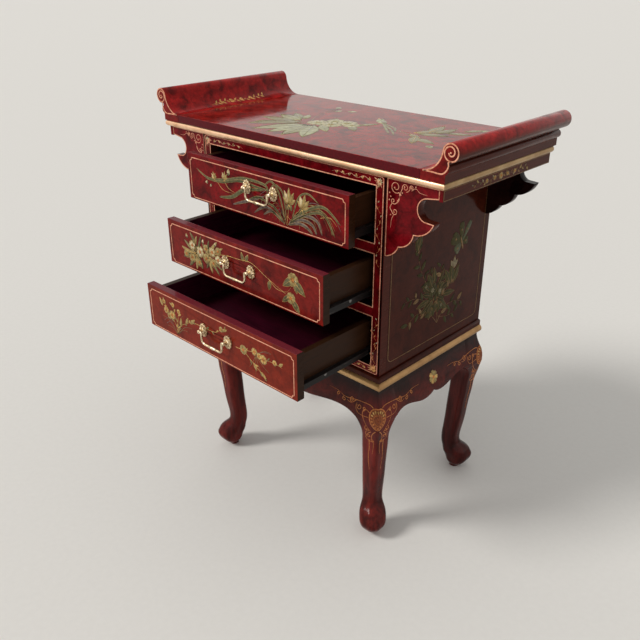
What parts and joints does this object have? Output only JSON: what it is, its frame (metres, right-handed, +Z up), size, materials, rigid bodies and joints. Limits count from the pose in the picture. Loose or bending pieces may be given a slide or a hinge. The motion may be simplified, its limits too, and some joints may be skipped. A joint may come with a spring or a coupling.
{
  "type": "temple cabinet",
  "caption": "Altar-top lacquer chest of drawers with scroll ends, carved brackets and a stand on cabriole legs; the drawers run on roller runners and have bail handles.",
  "frame": {"origin": "on the floor, under the middle of the case", "axes": "+X to the right as seen from the front, drawers open towards -Y, +Z up"},
  "size_m": [0.758, 0.553, 0.8416],
  "materials": {
    "lacquer": "gloss lacquer",
    "gilt": "gilded",
    "dark_wood": "dark stain",
    "runner_steel": "enamelled",
    "screw_steel": "plated",
    "nylon": "moulded",
    "brass": "polished, slightly aged"
  },
  "bodies": {
    "cabinet": {"top_panel": "lacquer", "scroll_end_left": "lacquer", "scroll_end_right": "lacquer", "under_top_board": "lacquer", "end_rails": "lacquer", "brackets_front": "lacquer", "brackets_rear": "lacquer", "side_left": "lacquer", "side_right": "lacquer", "stiles": "lacquer", "top_rail": "lacquer", "dividers": "lacquer", "bottom_rail": "lacquer", "plinth_board": "lacquer", "aprons_long": "lacquer", "aprons_side": "lacquer", "legs_front": "lacquer", "legs_rear": "lacquer", "base_board": "lacquer", "top_bead": "gilt", "base_bead": "gilt", "bottom_panel": "dark_wood", "back_panel": "dark_wood", "top_cleats": "dark_wood", "corner_blocks": "dark_wood", "case_runners": "runner_steel", "case_screws": "screw_steel"},
    "drawer_top": {"drawer_front_top": "lacquer", "drawer_sides_top": "dark_wood", "drawer_back_top": "dark_wood", "drawer_bottom_top": "dark_wood", "drawer_runners_top": "runner_steel", "runner_screws_top": "screw_steel", "rosettes_top": "brass", "handle_posts_top": "brass"},
    "bail_top": {"bail_top": "brass"},
    "drawer_rollers_top": {"drawer_rollers_top": "nylon"},
    "case_rollers_top": {"case_rollers_top": "nylon"},
    "drawer_middle": {"drawer_front_middle": "lacquer", "drawer_sides_middle": "dark_wood", "drawer_back_middle": "dark_wood", "drawer_bottom_middle": "dark_wood", "drawer_runners_middle": "runner_steel", "runner_screws_middle": "screw_steel", "rosettes_middle": "brass", "handle_posts_middle": "brass"},
    "bail_middle": {"bail_middle": "brass"},
    "drawer_rollers_middle": {"drawer_rollers_middle": "nylon"},
    "case_rollers_middle": {"case_rollers_middle": "nylon"},
    "drawer_bottom": {"drawer_front_bottom": "lacquer", "drawer_sides_bottom": "dark_wood", "drawer_back_bottom": "dark_wood", "drawer_bottom_bottom": "dark_wood", "drawer_runners_bottom": "runner_steel", "runner_screws_bottom": "screw_steel", "rosettes_bottom": "brass", "handle_posts_bottom": "brass"},
    "bail_bottom": {"bail_bottom": "brass"},
    "drawer_rollers_bottom": {"drawer_rollers_bottom": "nylon"},
    "case_rollers_bottom": {"case_rollers_bottom": "nylon"}
  },
  "joints": [
    {"name": "drawer_top_slide", "type": "slide", "parent": "cabinet", "child": "drawer_top", "axis": [0, -1, 0], "range_m": [-0.062, 0.163]},
    {"name": "bail_top_swing", "type": "hinge", "parent": "drawer_top", "child": "bail_top", "pos_m": [0, -0.241, 0.70825], "axis": [-1, 0, 0], "range_deg": [0, 95]},
    {"name": "case_rollers_top_spin", "type": "hinge", "parent": "cabinet", "child": "case_rollers_top", "pos_m": [0, -0.1335, 0.67], "axis": [1, 0, 0], "continuous": true},
    {"name": "drawer_rollers_top_spin", "type": "hinge", "parent": "drawer_top", "child": "drawer_rollers_top", "pos_m": [0, 0.0675, 0.67], "axis": [1, 0, 0], "continuous": true},
    {"name": "drawer_middle_slide", "type": "slide", "parent": "cabinet", "child": "drawer_middle", "axis": [0, -1, 0], "range_m": [-0.123, 0.102]},
    {"name": "bail_middle_swing", "type": "hinge", "parent": "drawer_middle", "child": "bail_middle", "pos_m": [0, -0.302, 0.57725], "axis": [-1, 0, 0], "range_deg": [0, 95]},
    {"name": "case_rollers_middle_spin", "type": "hinge", "parent": "cabinet", "child": "case_rollers_middle", "pos_m": [0, -0.1335, 0.549], "axis": [1, 0, 0], "continuous": true},
    {"name": "drawer_rollers_middle_spin", "type": "hinge", "parent": "drawer_middle", "child": "drawer_rollers_middle", "pos_m": [0, 0.0065, 0.549], "axis": [1, 0, 0], "continuous": true},
    {"name": "drawer_bottom_slide", "type": "slide", "parent": "cabinet", "child": "drawer_bottom", "axis": [0, -1, 0], "range_m": [-0.186, 0.039]},
    {"name": "bail_bottom_swing", "type": "hinge", "parent": "drawer_bottom", "child": "bail_bottom", "pos_m": [0, -0.365, 0.45825], "axis": [-1, 0, 0], "range_deg": [0, 95]},
    {"name": "case_rollers_bottom_spin", "type": "hinge", "parent": "cabinet", "child": "case_rollers_bottom", "pos_m": [0, -0.1335, 0.428], "axis": [1, 0, 0], "continuous": true},
    {"name": "drawer_rollers_bottom_spin", "type": "hinge", "parent": "drawer_bottom", "child": "drawer_rollers_bottom", "pos_m": [0, -0.0565, 0.428], "axis": [1, 0, 0], "continuous": true}
  ],
  "couplings": [
    {"joint": "case_rollers_top_spin", "follows": "drawer_top_slide", "rad_per_m": 133.33},
    {"joint": "drawer_rollers_top_spin", "follows": "drawer_top_slide", "rad_per_m": 133.33},
    {"joint": "case_rollers_middle_spin", "follows": "drawer_middle_slide", "rad_per_m": 133.33},
    {"joint": "drawer_rollers_middle_spin", "follows": "drawer_middle_slide", "rad_per_m": 133.33},
    {"joint": "case_rollers_bottom_spin", "follows": "drawer_bottom_slide", "rad_per_m": 133.33},
    {"joint": "drawer_rollers_bottom_spin", "follows": "drawer_bottom_slide", "rad_per_m": 133.33}
  ]
}
